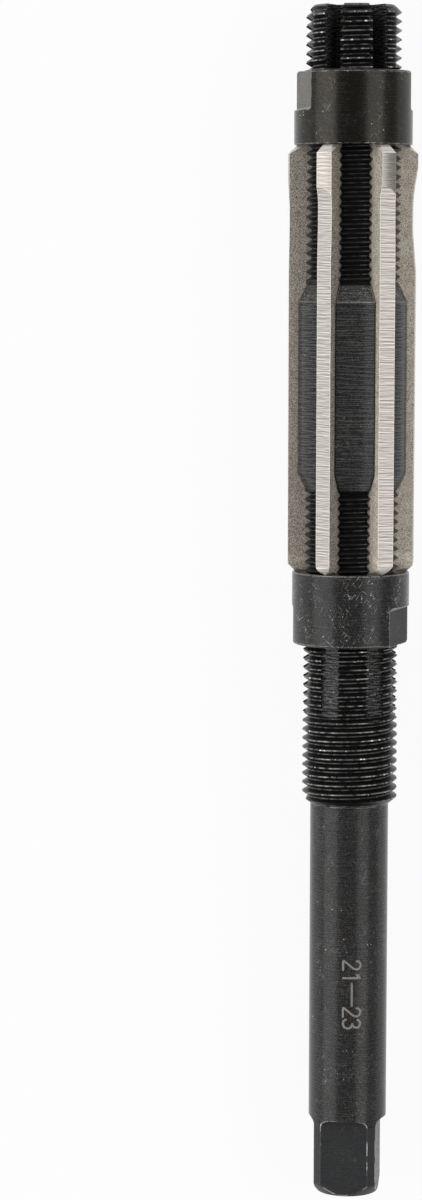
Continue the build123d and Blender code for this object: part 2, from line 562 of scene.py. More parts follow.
@dataclass(frozen=True)
class BlackOxideSteel(Finish):
    """Turned tool steel, blackened in a hot salt bath and oiled."""

    # The magnetite skin is a dark half-mirror: soft bands of light run along the bar over a grey
    # haze, and the turning marks go round it. Handling rubs edges and specks through to bare steel;
    # the pale edges are partly that wear and partly painted highlights.
    dark: str = "#303031"
    brown: str = "#323130"
    edge_wear_and_highlight: str = "#c9c7c3"
    metal: float = 0.25
    gloss: float = 0.25
    roughness: float = 0.24
    mark_spacing: float = 0.18
    mark_length: float = 4.0
    mark_depth: float = 0.002
    mark_contrast: float = 0.8
    speckle: float = 0.4
    specks: float = 0.4
    scratched: float = 0.25
    edge_radius: float = 0.14
    grained: float = 0.7
    patch_limits: Corner = (0.48, 0.66)
    scratch_tilts: Corner = (32.0, -48.0)
    wear_and_highlight_patch: float = 0.8
    wear_and_highlight_limits: Corner = (0.4, 0.58)
    worn_and_lit_metal: float = 0.85

    def lay(self, r: Recipe) -> Material:
        """Stains, turning marks, grain, dust, specks, scratches and pale edges, partly worn and partly
        painted highlights.

        Args:
            r: the empty recipe.

        Returns:
            The finished material.
        """
        # Turning marks go round the bar, so they vary mostly along y
        marks = r.streaks(self.mark_spacing, self.mark_length)
        stains = r.noise((5.0, 7.0, 5.0), 4.0)
        grain = r.noise(0.2, 3.0)
        rounded, edge = r.edges(self.edge_radius)
        colour = r.mix(r.between(stains, 0.42, 0.62), self.dark, self.brown)
        colour = r.tint(colour, marks, (0.46, 0.7), 0.2 * self.mark_contrast, "#5b5b5b")
        colour = r.tint(colour, grain, (0.5, 0.72), 0.2 * self.grained, "#a3a19e")
        colour = r.tint(colour, grain, (0.5, 0.34), self.grained, "#0b0b0b")
        dust = r.between(r.noise((0.2, 0.15, 0.2), 2.0), 0.58, 0.7, (0.0, self.speckle))
        patches = r.between(r.noise((2.5, 4.0, 2.5), 3.0), *self.patch_limits, (0.1, 1.0))
        colour = r.masked(colour, dust, patches, "#9c9a96")
        colour = r.masked(colour, r.specks(0.5, 0.24, self.specks, 3.0), patches, "#dfdcd6")
        for tilt in self.scratch_tilts:
            scratch = r.between(r.noise((0.09, 1.6, 1.2), 0.5, tilt=tilt), 0.7, 0.76, (0.0, self.scratched))
            colour = r.masked(colour, scratch, patches, "#b5b2ad")
        # Pale edges: partly rubbed wear, partly painted highlights where edges catch the light
        rubbing_and_lighting = r.noise(self.wear_and_highlight_patch, 3.0)
        worn_and_lit = r.times(edge, r.between(rubbing_and_lighting, *self.wear_and_highlight_limits, (0.05, 1.0)))
        colour = r.mix(worn_and_lit, colour, self.edge_wear_and_highlight)
        fine = r.follow(grain, self.roughness - 0.04, self.roughness + 0.05)
        uneven = 0.07 * self.mark_contrast
        rough = r.math("ADD", fine, r.between(marks, 0.35, 0.65, (-uneven, uneven)))
        normal = r.relief(grain, 0.0008, rounded)
        normal = r.relief(marks, self.mark_depth, normal)
        metal = r.between(worn_and_lit, 0.0, 1.0, (self.metal, self.worn_and_lit_metal))
        broken = min(0.9, 0.35 * self.mark_contrast)
        gloss = r.follow(marks, self.gloss * (1.0 - broken), self.gloss * (1.0 + broken))
        return r.finish(colour, rough, normal, Metallic=metal, Specular_IOR_Level=gloss)


@dataclass(frozen=True)
class ThreadedSteel(Finish):
    """Black thread, burnished on its crests by the nuts, with painted highlights on crests and roots."""

    # Near black in its valleys, where oil and oxide gather, with thin pale lines along the crests and
    # roots that are partly burnish and partly painted highlights, and painted glints on the crests
    axis_height: float
    crest_radius: float = 8.0
    root_radius: float = 7.08
    dark: str = "#101010"
    crest: str = "#92918f"
    root: str = "#6b6a69"
    painted_glint: str = "#fbfaf7"
    roughness: float = 0.3
    metal: float = 0.18
    gloss: float = 0.14

    def lay(self, r: Recipe) -> Material:
        """Crest lines worn in patches and pale root lines, both partly painted highlights, and painted
        glints.

        Args:
            r: the empty recipe.

        Returns:
            The finished material.
        """
        away = r.axis_distance(self.axis_height)
        top = r.between(away, (self.crest_radius - 0.09) * MM, (self.crest_radius - 0.02) * MM)
        grain = r.noise((0.25, 0.2, 0.25), 3.0)
        patches = r.between(r.noise((0.9, 1.3, 0.9), 3.0), 0.38, 0.62, (0.05, 1.0))
        colour = r.mix(r.between(grain, 0.45, 0.75), self.dark, "#242322")
        # Pale crest lines: partly burnished by the nuts, partly painted highlights
        worn_and_lit = r.times(top, patches)
        colour = r.mix(worn_and_lit, colour, self.crest)
        # Pale root lines: partly scraped by the cutter, partly painted highlights
        low = r.between(away, (self.root_radius + 0.07) * MM, (self.root_radius + 0.02) * MM)
        scraped_and_lit = r.between(r.noise((1.1, 1.5, 1.1), 3.0), 0.4, 0.6, (0.15, 1.0))
        colour = r.masked(colour, low, scraped_and_lit, self.root)
        # Painted glints on the crests
        colour = r.masked(colour, r.specks(0.6, 0.45, 0.5, 5.0), top, self.painted_glint)
        rough = r.follow(grain, self.roughness - 0.04, self.roughness + 0.1)
        rounded, _ = r.edges(0.06)
        metal = r.between(worn_and_lit, 0.0, 1.0, (self.metal, 0.8))
        normal = r.relief(grain, 0.002, rounded)
        return r.finish(colour, rough, normal, Metallic=metal, Specular_IOR_Level=self.gloss)


@dataclass(frozen=True)
class GroundSteel(Finish):
    """Hardened blade steel, ground bright across the blade by a small wheel."""

    # Bare ground steel: fine scratches across the blade break the light into short bright streaks,
    # and its edges are painted pale as highlights
    bright: str = "#aca8a2"
    dull: str = "#84807b"
    warm: str = "#a39d97"
    line_spacing: float = 0.2
    line_depth: float = 0.0012
    roughness: float = 0.36
    metal: float = 1.0

    def lay(self, r: Recipe) -> Material:
        """Scratches across the blade, over a slow change of tone, and edges painted pale as highlights.

        Args:
            r: the empty recipe.

        Returns:
            The finished material.
        """
        # The real scratches are a few hundredths of a millimetre apart, and are drawn coarser to show
        lines = r.streaks(self.line_spacing, 12.0, tilt=1.5)
        deep = r.streaks(0.2, 2.2, tilt=1.5)
        tone = r.noise((2.4, 2.6, 2.4), 3.0)
        _, edge = r.edges(0.12)
        colour = r.mix(r.between(lines, 0.15, 0.75), self.dull, self.bright)
        colour = r.tint(colour, tone, (0.45, 0.75), 0.35, self.warm)
        colour = r.tint(colour, deep, (0.54, 0.7), 0.27, "#ece8e2")
        colour = r.tint(colour, deep, (0.46, 0.3), 0.3, "#6b6763")
        # Painted highlights along the edges
        colour = r.masked(colour, edge, 0.9, "#faf5ef")
        rough = r.follow(lines, self.roughness + 0.06, self.roughness)
        return r.finish(colour, rough, r.relief(lines, self.line_depth), Metallic=self.metal)


@dataclass(frozen=True)
class BlankSteel(Finish):
    """The blade's flat sides: hardened, tempered and left as they came from the blank grinder."""

    # Matt grey-brown with a faint oxide film, a fine pale speckle and dark pinpricks, and edges
    # painted pale as highlights
    pale: str = "#b3aa9e"
    film: str = "#9c9287"
    roughness: float = 0.6

    def lay(self, r: Recipe) -> Material:
        """Mottled film, fine grain, pits and edges painted pale as highlights.

        Args:
            r: the empty recipe.

        Returns:
            The finished material.
        """
        mottle = r.noise((1.1, 1.8, 1.1), 5.0)
        grain = r.noise((0.18, 0.2, 0.18), 2.0)
        rounded, edge = r.edges(0.1)
        colour = r.mix(r.follow(mottle, 0.0, 1.0), self.film, self.pale)
        colour = r.tint(colour, grain, (0.5, 0.64), 0.7, "#5f564c")
        colour = r.tint(colour, grain, (0.5, 0.36), 0.7, "#e8dfd3")
        colour = r.masked(colour, r.specks(0.7, 0.26, 0.2, 8.0), 0.8, "#3f362e")
        # Painted highlights along the edges
        colour = r.masked(colour, edge, 0.8, "#e2dad0")
        rough = r.follow(grain, self.roughness - 0.06, self.roughness + 0.1)
        normal = r.relief(grain, 0.003, rounded)
        return r.finish(colour, rough, normal, Metallic=0.25)


@dataclass(frozen=True)
class EtchedSteel(Finish):
    """Bare steel where the black skin was engraved away for the size marks."""

    # Pale and matt, since the engraving breaks the surface up
    pale: str = "#a09a94"

    def lay(self, r: Recipe) -> Material:
        """Uneven pale grain.

        Args:
            r: the empty recipe.

        Returns:
            The finished material.
        """
        grain = r.noise(0.18, 3.0)
        colour = r.mix(r.between(grain, 0.35, 0.7), "#837d77", self.pale)
        rough = r.follow(grain, 0.5, 0.65)
        return r.finish(colour, rough, r.relief(grain, 0.004), Metallic=0.3)


@dataclass(frozen=True)
class PaintedBoard(Finish):
    """The studio's matt white table."""

    # Nearly white, with the faintest unevenness of rolled paint, and blown out to the eye as a
    # catalogue's white ground is, while its soft shadow stays
    white: str = "#fcfcfb"
    glow: float = 0.92

    def lay(self, r: Recipe) -> Material:
        """Rolled paint that looks brighter to the camera than the light on it makes it.

        Args:
            r: the empty recipe.

        Returns:
            The finished material.
        """
        rolled = r.noise(9.0, 3.0)
        colour = r.mix(r.follow(rolled, 0.0, 1.0), self.white, "#fafaf9")
        rough = r.follow(rolled, 0.85, 0.95)
        board = r.out(
            "BsdfPrincipled", {"Base Color": colour, "Roughness": rough, "Normal": r.relief(rolled, 0.01)}
        )
        ray = r.add("LightPath").outputs
        seen = r.math("ADD", ray["Is Camera Ray"], ray["Is Glossy Ray"])
        seen = r.math("MINIMUM", r.math("ADD", seen, ray["Is Transmission Ray"]), 1.0)
        blown = r.out("Emission", {"Color": "#ffffff", "Strength": 1.0})
        both = r.out("MixShader", {0: r.times(seen, self.glow), 1: board, 2: blown})
        r.add("OutputMaterial", {"Surface": both})
        return r.owner


# The bar


@dataclass(frozen=True)
class ThreadForm:
    """Metric thread of 1.5 mm pitch, as it is cut on the bar."""

    pitch: float = 1.5
    depth: float = 0.92
    # Half-profile: shares of the pitch from the crest's middle, and the share of the depth there
    phases: tuple[float, ...] = (0.0, 0.05, 0.08, 0.42, 0.455, 0.5)
    cut_shares: tuple[float, ...] = (0.0, 0.0, 0.06, 0.94, 1.0, 1.0)
    # Length over which it fades at each end, and its shares there
    fade: float = 0.9
    fades: tuple[float, ...] = (0.0, 1.0, 1.0, 0.0)
    spare_turns: int = 3

    def rings(self) -> list[float]:
        """Phases of the ridges and valleys over one pitch."""
        half = self.phases[1:-1]
        return sorted([-p for p in half] + list(half))

    def cut(self, phase: float) -> float:
        """Depth below the crest at a phase of the pitch."""
        near = abs((phase + 0.5) % 1.0 - 0.5)
        return self.depth * float(np.interp(near, self.phases, self.cut_shares))


class BarFinish(IntEnum):
    """Finishes of the bar's faces, in the order of its materials.

    SHADED_THREAD is the thread between the blades, with its lines and glints painted dimmer as shade,
    CONE and SHOULDER the scuffed slope before the plain centre and its pale rim, partly rubbed and
    partly a painted highlight, and SCOURED the right side of the square.
    """

    TURNED = 0
    SLOT = 1
    SQUARE = 2
    THREAD = 3
    SHADED_THREAD = 4
    CONE = 5
    CENTRE = 6
    SHOULDER = 7
    SCOURED = 8


@dataclass
class Bar:
    """The slotted, threaded bar with its shank and wrench square."""

    place: Frame
    thread: ThreadForm = ThreadForm()
    columns: int = 112
    thread_radius: float = 8.0
    centre_radius: float = 9.2
    shank_radius: float = 6.6
    entry_chamfer: float = 1.2
    front_cone: Corner = (46.095, 48.795)
    rear_cone: Corner = (77.409, 79.909)
    thread_end: float = 133.295
    thread_end_taper: float = 1.1
    hole_radius: float = 1.2
    drill_radius: float = 0.5
    cone_depth: float = 1.212
    drill_depth: float = 2.4
    slot_azimuths: tuple[float, ...] = tuple(FIRST_BLADE + BLADE_STEP * i for i in range(BLADES))
    slot_half_width: float = 1.52
    slot_floor: Corner = (6.4, 93.95)
    slot_slope: float = 2.0
    slot_end: float = 115.625
    cutter_radius: float = 10.0
    square_azimuth: float = -9.8
    square_half: float = 5.25
    square_start: float = 188.345
    square_cutter: float = 1.3
    square_taper: float = 1.8
    square_end_radius: float = 5.1
    # The cutters' paths begin this far beyond the ends, and close at this radius outside the bar
    overrun: float = 1.0
    clear: float = 10.2
    arc_steps: int = 28
    # What tells the faces of a slot, and the square's right side, from others
    slot_leave: float = 4.2
    slot_lowest: float = 2.0
    slot_lean: float = 0.5
    square_on: float = 0.99
    # Edges that turn by more than this many degrees stay sharp
    sharp_angle: float = 32.0
    edge: float = 0.1
    blades_span: Corner = (22.95, 93.95)

    @property
    def length(self) -> float:
        """Length of the bar."""
        return 2 * self.place.half_length

    def thread_rows(self, start: float, end: float, blank: Sequence[Corner]) -> list[list[Corner]]:
        """Rows of (radius, station) that follow the thread's helix between two stations.

        Args:
            start: first station of the thread.
            end: last station.
            blank: (station, radius) corners that the thread stays under.

        Returns:
            One row for each ridge and valley, each of them one point longer than a turn.
        """
        t = self.thread
        stations, radii = zip(*blank)
        turns = range(int((end - start) / t.pitch) + t.spare_turns)
        bases = [start + (n + phase) * t.pitch for n in turns for phase in t.rings()]
        rows = []
        for base in bases:
            row = []
            for column in range(self.columns + 1):
                share = column / self.columns
                station = min(max(base - t.pitch * share, start), end)
                phase = (station - start) / t.pitch + share
                fade = float(np.interp(station, (start, start + t.fade, end - t.fade, end), t.fades))
                limit = float(np.interp(station, stations, radii))
                row.append((min(limit, self.thread_radius - t.cut(phase) * fade), station))
            rows.append(row)
        return rows

    def rows(self) -> list[list[Corner]]:
        """All rows of the turned bar, from the drilled centre at one end to that at the other.

        Returns:
            Rows of (radius, station), as long as those of the thread.
        """
        entry, crest = self.thread_radius - self.entry_chamfer, self.thread_radius
        hole, drill, shank, length = self.hole_radius, self.drill_radius, self.shank_radius, self.length
        front = [(drill, self.drill_depth), (drill, self.cone_depth), (hole, 0.0), (entry, 0.0)]
        middle = [
            (crest, self.front_cone[0]),
            (self.centre_radius, self.front_cone[1]),
            (self.centre_radius, self.rear_cone[0]),
            (crest, self.rear_cone[1]),
        ]
        rear = [(shank, self.thread_end), (shank, self.square_start), (shank, length - self.square_taper)]
        rear += [(self.square_end_radius, length), (hole, length)]
        rear += [(drill, length - self.cone_depth), (drill, length - self.drill_depth)]
        taper_start = self.thread_end - self.thread_end_taper
        stub = self.thread_rows(0.0, self.front_cone[0], [(0.0, entry), (self.entry_chamfer, crest)])
        main_thread = self.thread_rows(
            self.rear_cone[1], self.thread_end, [(taper_start, crest), (self.thread_end, shank)]
        )
        plain = [
            [[corner] * (self.columns + 1) for corner in line]
            for line in (front, softened(middle, self.edge), softened(rear, self.edge))
        ]
        return plain[0] + stub + plain[1] + main_thread + plain[2]

    def turned(self) -> Piece:
        """The bar as it leaves the lathe, with its threads cut."""
        rows = [
            [self.place.point(360.0 * i / self.columns, r, s) for i, (r, s) in enumerate(row)]
            for row in self.rows()
        ]
        return loft("reamer_bar", rows, ring=False)

    def slot_outline(self) -> list[Corner]:
        """Path of the slotting cutter: the sloping floor and the curve where it leaves.

        Returns:
            Its (radius, station) outline.
        """
        slope = math.radians(self.slot_slope)
        floor_r, floor_s = self.slot_floor
        first = (floor_r - (floor_s + self.overrun) * math.tan(slope), -self.overrun)
        last = (floor_r + (self.slot_end - floor_s) * math.tan(slope), self.slot_end)
        radius = self.cutter_radius
        centre = (last[0] + radius * math.cos(slope), last[1] - radius * math.sin(slope))
        leave = math.degrees(math.acos((self.clear - centre[0]) / radius))
        curve = arc(centre, radius, 180.0 - self.slot_slope, leave, self.arc_steps)
        return [(self.clear, -self.overrun), first] + curve

    def flat_outline(self) -> list[Corner]:
        """Path of the cutter along one side of the square.

        Returns:
            Its (radius, station) outline.
        """
        centre = (self.square_half + self.square_cutter, self.square_start)
        curve = arc(centre, self.square_cutter, 180.0, 360.0, self.arc_steps)
        end = self.length + self.overrun
        return curve + [(self.clear, self.square_start), (self.clear, end), (self.square_half, end)]

    def build(self) -> Piece:
        """Mills the slots and the square.

        Returns:
            The finished bar.
        """
        bar = self.turned()
        mill(bar, self.place, self.slot_azimuths, self.slot_outline(), self.slot_half_width)
        for side in (0.0, 90.0):
            azimuths = (self.square_azimuth + side, self.square_azimuth + side + 180.0)
            mill(bar, self.place, azimuths, self.flat_outline(), self.clear)
        return bar

    def finish_number(self, polygon: Any) -> int:
        """Picks the finish of a face.

        Args:
            polygon: the face.

        Returns:
            The number of its material.
        """
        for azimuth in self.slot_azimuths:
            outwards, along, station = self.place.measures(polygon.center, azimuth)
            near_wall = abs(along) < self.slot_half_width + SLACK and outwards > self.slot_lowest
            in_slot = SLACK < station < self.slot_end + self.slot_leave
            if near_wall and in_slot and abs(polygon.normal.y) < self.slot_lean:
                return BarFinish.SLOT
        outwards, along, station = self.place.measures(polygon.center, 0.0)
        milled = math.hypot(outwards, along) < self.shank_radius - SLACK
        at_step = self.square_start - self.square_cutter < station < self.square_start
        if station > self.square_start or (at_step and milled):
            scoured = facing(polygon, self.square_azimuth + 90.0) > self.square_on
            return BarFinish.SCOURED if scoured else BarFinish.SQUARE
        stretches = (
            (SLACK, BarFinish.TURNED),
            (self.blades_span[0], BarFinish.THREAD),
            (self.front_cone[0], BarFinish.SHADED_THREAD),
            (self.front_cone[1] - self.edge, BarFinish.CONE),
            (self.front_cone[1] + self.edge, BarFinish.SHOULDER),
            (self.rear_cone[1], BarFinish.CENTRE),
            (self.blades_span[1], BarFinish.SHADED_THREAD),
            (self.thread_end, BarFinish.THREAD),
        )
        return next((finish for end, finish in stretches if station < end), BarFinish.TURNED)


# Blades


class BladeFinish(IntEnum):
    """Finishes of a blade's faces, in the order of its materials."""

    SIDE = 0
    ROUND_GROUND = 1
    RELIEVED = 2
    BEVEL = 3
    REAR_BEVEL = 4


@dataclass(frozen=True)
class Grind:
    """How one blade was relieved by hand: the wheel's angle, reach, radius and the dip that it left."""

    relief_angle: float = 8.0
    dip_depth: float = 0.27
    front_land: float = 9.6
    wheel_radius: float = 30.0


@dataclass
class Blade:
    """One cutting blade: sloping bottom, round-ground front, relieved cutting land, bevelled ends."""

    place: Frame
    number: int
    noses: Corner
    grind: Grind = Grind()
    half_width: float = 1.35
    land_radius: float = 10.8
    nose_radius: float = 7.9
    slot_floor: Corner = (6.43, 93.95)
    slope: float = 2.0
    dip_length: float = 3.0
    lead_length: float = 7.0
    back_taper: float = 0.04
    corner: float = 0.03
    # Cuts of the top corners: their width and length, how far each width drops, and the share of
    # the height that they may take
    front_cut: float = 0.5
    front_cut_length: float = 1.3
    rear_cut: float = 1.15
    rear_cut_length: float = 1.7
    cut_slope: float = 2.0
    deepest_cut: float = 0.85
    # How far the rear corners' rounding has gone where the bevel begins, as a share of its length
    rear_cut_lead: float = 0.3
    # Stretches whose cross-sections lie closest
    wheel_reach: float = 4.5
    before_turn: float = 0.6
    after_turn: float = 1.0
    across_steps: int = 12
    # How far a face must point outwards to count as a cut corner or as the top
    cut_lean: float = 0.1
    top_lean: float = 0.3
    sharp_angle: float = 32.0

    @property
    def azimuth(self) -> float:
        """Azimuth of this blade's slot."""
        return FIRST_BLADE + BLADE_STEP * (self.number - 1)

    @property
    def bevel(self) -> float:
        """Length of the bevels at both ends, which stand at 45 degrees."""
        return self.land_radius - self.nose_radius

    def ground_height(self, station: float, along: float) -> float:
        """Height of the cylinder and end cones that the blade was first ground to.

        Args:
            station: distance from the entry end.
            along: distance in the cutting way.

        Returns:
            The height above the axis.
        """
        front, rear = self.noses
        radius = min(self.land_radius, self.nose_radius + station - front, self.nose_radius + rear - station)
        return math.sqrt(radius**2 - along**2)

    def relieved_height(self, station: float, along: float) -> float:
        """Height of the relief that the wheel cut, or infinity where it did not reach.

        Args:
            station: distance from the entry end.
            along: distance in the cutting way.

        Returns:
            The height above the axis.
        """
        front, rear = self.noses
        g = self.grind
        edge = math.sqrt(self.land_radius**2 - self.half_width**2)
        dip_start = front + self.bevel + g.front_land
        dip_end = dip_start + self.dip_length
        low = edge - g.dip_depth
        away = dip_start - station
        if away >= g.wheel_radius:
            return math.inf
        if away > 0.0:
            path = low + g.wheel_radius - math.sqrt(g.wheel_radius**2 - away**2)
        else:
            stations = (dip_start, dip_end, dip_end + self.lead_length, rear)
            path = float(np.interp(station, stations, (low, low, edge, edge - self.back_taper)))
        return path - (self.half_width - along) * math.tan(math.radians(g.relief_angle))

    def cut_at(self, station: float) -> float:
        """How much of each top corner is ground off: the front's are clipped, the rear's rounded.

        Args:
            station: distance from the entry end.

        Returns:
            The width of the cut.
        """
        front, rear = self.noses
        clipped = clamped((front + self.bevel - station) / self.front_cut_length)
        turned = clamped((station - rear + self.bevel) / self.rear_cut_length + self.rear_cut_lead)
        return max(self.front_cut * clipped, self.rear_cut * (1.0 - math.sqrt(1.0 - turned**2)))

    def height(self, station: float, along: float) -> float:
        """Height of the finished blade's top."""
        return min(self.ground_height(station, along), self.relieved_height(station, along))

    def stations(self) -> list[float]:
        """Places the blade's cross-sections, closest where its top curves.

        Returns:
            Their stations.
        """
        front, rear = self.noses
        land = front + self.bevel
        land_end = land + self.grind.front_land
        ends = (
            (land, 12),
            (land + self.wheel_reach, 15),
            (land_end, 43),
            (land_end + self.dip_length + self.lead_length, 23),
            (rear - self.bevel - self.before_turn, 29),
            (rear - self.bevel + self.after_turn, 13),
            (rear, 5),
        )
        marks = [front]
        for end, steps in ends:
            marks += list(np.linspace(marks[-1], end, steps + 1))[1:]
        return marks

    def section(self, station: float) -> list[Vector]:
        """Closed cross-section, from the bottom of the trailing side round over the top.

        Args:
            station: distance from the entry end.

        Returns:
            Its points.
        """
        w, c, cut = self.half_width, self.corner, self.cut_at(station)
        floor_r, floor_s = self.slot_floor
        bottom = floor_r + (station - floor_s) * math.tan(math.radians(self.slope))
        inner = w - cut
        across = [-inner + c] + list(np.linspace(-inner, inner, self.across_steps))[1:-1] + [inner - c]
        left, right = self.height(station, -inner) - c, self.height(station, inner) - c
        # A ground corner runs out above the bottom, however low the blade is there
        fall = min(cut * self.cut_slope, self.deepest_cut * (min(left, right) - bottom))
        points = [(bottom + c, -w), (left - fall, -w), (left, -inner)]
        points += [(self.height(station, t), t) for t in across]
        points += [(right, inner), (right - fall, w), (bottom + c, w), (bottom, w - c), (bottom, -w + c)]
        return [self.place.point(self.azimuth, r, station, t) for r, t in points]

    def build(self) -> Piece:
        """The finished blade."""
        return loft(f"cutting_blade_{self.number}", [self.section(station) for station in self.stations()])

    def finish_number(self, polygon: Any) -> int:
        """Picks the finish of a face.

        Args:
            polygon: the face.

        Returns:
            The number of its material.
        """
        _, along, station = self.place.measures(polygon.center, self.azimuth)
        outwards = facing(polygon, self.azimuth)
        front, rear = self.noses
        cut_face = abs(along) > self.half_width - self.cut_at(station) and outwards > self.cut_lean
        if station < front + self.bevel and (cut_face or outwards > self.top_lean):
            return BladeFinish.BEVEL
        if outwards < self.top_lean or cut_face:
            return BladeFinish.SIDE
        if station > rear - self.bevel:
            return BladeFinish.REAR_BEVEL
        if self.relieved_height(station, along) < self.ground_height(station, along):
            return BladeFinish.RELIEVED
        return BladeFinish.ROUND_GROUND


# Nuts


class NutFinish(IntEnum):
    """Finishes of a nut's faces, in the order of its materials."""

    TURNED = 0
    FLAT = 1


@dataclass
class Nut:
    """Cone nut with two wrench flats at its far end."""

    place: Frame
    node: str
    outwards: int
    flat_azimuth: float
    columns: int = 144
    radius: float = 9.85
    bore: float = 8.05
    mouth: float = 9.45
    flat_depth: float = 1.35
    flat_length: float = 6.5
    flat_fillet: float = 0.5
    outer_chamfer: float = 0.35
    face_chamfer: float = 0.15
    bore_chamfer: float = 0.5
    groove_depth: float = 0.3
    groove_start: float = 0.3
    groove_spare: float = 0.4
    # The groove's line, in shares of its depth and of the pitch
    groove_form: tuple[Corner, ...] = ((0, 0.0), (1, 0.38), (1, 0.5), (0, 0.88))
    pitch: float = 1.5
    edge: float = 0.09
    overrun: float = 1.0
    fillet_steps: int = 6
    # How squarely a face must look outwards to be a flat
    flat_on: float = 0.999
    sharp_angle: float = 20.0

    @property
    def ends(self) -> Corner:
        """Stations of the recessed face and of the far end."""
        first, last = self.place.span(self.node)
        return (last, first) if self.outwards > 0 else (first, last)

    def bore_line(self, far: float, cone_bottom: float) -> list[Corner]:
        """The threaded bore, from its outer chamfer to the recess.

        Args:
            far: station of the far end.
            cone_bottom: station where the recess meets the bore.

        Returns:
            Its (radius, station) line.
        """
        inwards = self.outwards
        line = []
        reach = abs(cone_bottom - far) - self.bore_chamfer - self.groove_spare
        for turn in range(int(reach / self.pitch)):
            base = far + inwards * (self.bore_chamfer + self.groove_start + turn * self.pitch)
            for deep, share in self.groove_form:
                line.append((self.bore + deep * self.groove_depth, base + inwards * self.pitch * share))
        return line

    def build(self) -> Piece:
        """Turns the nut and mills its flats.

        Returns:
            The finished nut.
        """
        face, far = self.ends
        into = self.outwards
        cone_bottom = face - into * (self.mouth - self.bore)
        corners = [
            (self.mouth, face),
            (self.radius - self.face_chamfer, face),
            (self.radius, face - into * self.face_chamfer),
            (self.radius, far + into * self.outer_chamfer),
            (self.radius - self.outer_chamfer, far),
            (self.bore + self.bore_chamfer, far),
            (self.bore, far + into * self.bore_chamfer),
        ]
        line = softened(corners, self.edge) + self.bore_line(far, cone_bottom)
        line += [(self.bore, cone_bottom), corners[0]]
        turns = [360.0 * i / self.columns for i in range(self.columns)]
        rows = [[self.place.point(turn, r, s) for turn in turns] for r, s in line]
        nut = loft(self.node + "_turned", rows, closed=False)
        azimuths = (self.flat_azimuth, self.flat_azimuth + 180.0)
        mill(nut, self.place, azimuths, self.flat_outline(), 2 * self.radius)
        return nut

    def flat_outline(self) -> list[Corner]:
        """Path of the cutter along one wrench flat, with the cutter's corner radius.

        Returns:
            Its (radius, station) outline.
        """
        _, far = self.ends
        into = self.outwards
        low = self.radius - self.flat_depth
        end = far + into * self.flat_length
        clear = self.radius + self.overrun
        curve = [
            (low + self.flat_fillet * (1 - math.cos(t)), end - into * self.flat_fillet * (1 - math.sin(t)))
            for t in np.linspace(0.0, math.pi / 2, self.fillet_steps + 1)
        ]
        return [(clear, far - into), (low, far - into)] + curve + [(clear, end)]

    def finish_number(self, polygon: Any) -> int:
        """Picks the finish of a face.

        Args:
            polygon: the face.

        Returns:
            The number of its material.
        """
        outwards, _, _ = self.place.measures(polygon.center, self.flat_azimuth)
        at_depth = abs(abs(outwards) - (self.radius - self.flat_depth)) < SLACK
        is_flat = at_depth and abs(facing(polygon, self.flat_azimuth)) > self.flat_on
        return NutFinish.FLAT if is_flat else NutFinish.TURNED


# Size marks


@dataclass
class SizeMarks:
    """The cutting range in millimetres, engraved along the shank with a single-line cutter."""

    place: Frame
    shank_radius: float = 6.6
    proud: float = 0.012
    azimuth: float = 2.1
    start: float = 159.3
    height: float = 2.97
    stroke: float = 0.34
    # Sampling of the strokes, as shares of the figure height and of the half stroke
    sample: float = 0.04
    ribs: tuple[float, ...] = (-1.0, -0.5, 0.0, 0.5, 1.0)
    end_sides: int = 12

    def glyphs(self) -> list[tuple[float, list[Corner]]]:
        """Strokes of the marks.

        Returns:
            An offset and points for each figure, in shares of the figure height.
        """
        two = [(0.02, 0.78), (0.05, 0.9), (0.14, 0.98), (0.27, 1.0), (0.42, 0.95), (0.5, 0.8), (0.47, 0.64)]
        two += [(0.36, 0.48), (0.18, 0.28), (0.0, 0.04), (0.0, 0.0), (0.26, 0.0), (0.52, 0.0)]
        one = [(0.0, 0.8), (0.1, 0.86), (0.17, 1.0), (0.17, 0.5), (0.17, 0.0)]
        dash = [(0.0, 0.5), (1.28, 0.5)]
        three = [(0.02, 0.84), (0.1, 0.96), (0.24, 1.0), (0.4, 0.95), (0.48, 0.8), (0.44, 0.63), (0.28, 0.54)]
        three += [(0.2, 0.54), (0.28, 0.53), (0.46, 0.46), (0.53, 0.29), (0.46, 0.09), (0.27, 0.0)]
        three += [(0.1, 0.03), (0.0, 0.17)]
        return [(0.0, two), (0.82, one), (1.31, dash), (2.71, two), (3.38, three)]

    def ribbon(self, bm: Bmesh, points: Sequence[Corner]) -> None:
        """Lays one stroke on the shank, with round ends.

        Args:
            bm: the mesh that takes it.
            points: the stroke, in shares of the figure height.
        """
        line = smooth_line(points, self.sample)
        half = self.stroke / 2 / self.height
        rows = []
        for i, here in enumerate(line):
            before, after = line[max(i - 1, 0)], line[min(i + 1, len(line) - 1)]
            run = math.dist(before, after)
            side = (-(after[1] - before[1]) / run * half, (after[0] - before[0]) / run * half)
            rows.append([self.on_shank(here[0] + side[0] * k, here[1] + side[1] * k) for k in self.ribs])
        skin(bm, rows, ring=False)
        turns = [FULL_TURN * i / self.end_sides for i in range(self.end_sides)]
        for end in (line[0], line[-1]):
            cap(bm, [self.on_shank(end[0] + half * math.cos(t), end[1] + half * math.sin(t)) for t in turns])

    def on_shank(self, across: float, up: float) -> Vector:
        """Puts a point of a figure on the shank, reading towards the square with its top to the right.

        Args:
            across: place along the line of figures, in figure heights.
            up: height in the figure, from 0 to 1.

        Returns:
            The vertex.
        """
        arc_length = (up - 0.5) * self.height
        azimuth = self.azimuth + math.degrees(arc_length / self.shank_radius)
        return self.place.point(azimuth, self.shank_radius + self.proud, self.start + across * self.height)

    def build(self) -> Piece:
        """Engraves all figures.

        Returns:
            The marks as one piece.
        """
        bm = bmesh.new()
        for offset, points in self.glyphs():
            self.ribbon(bm, [(x + offset, y) for x, y in points])
        return mesh_object("size_marks", bm)


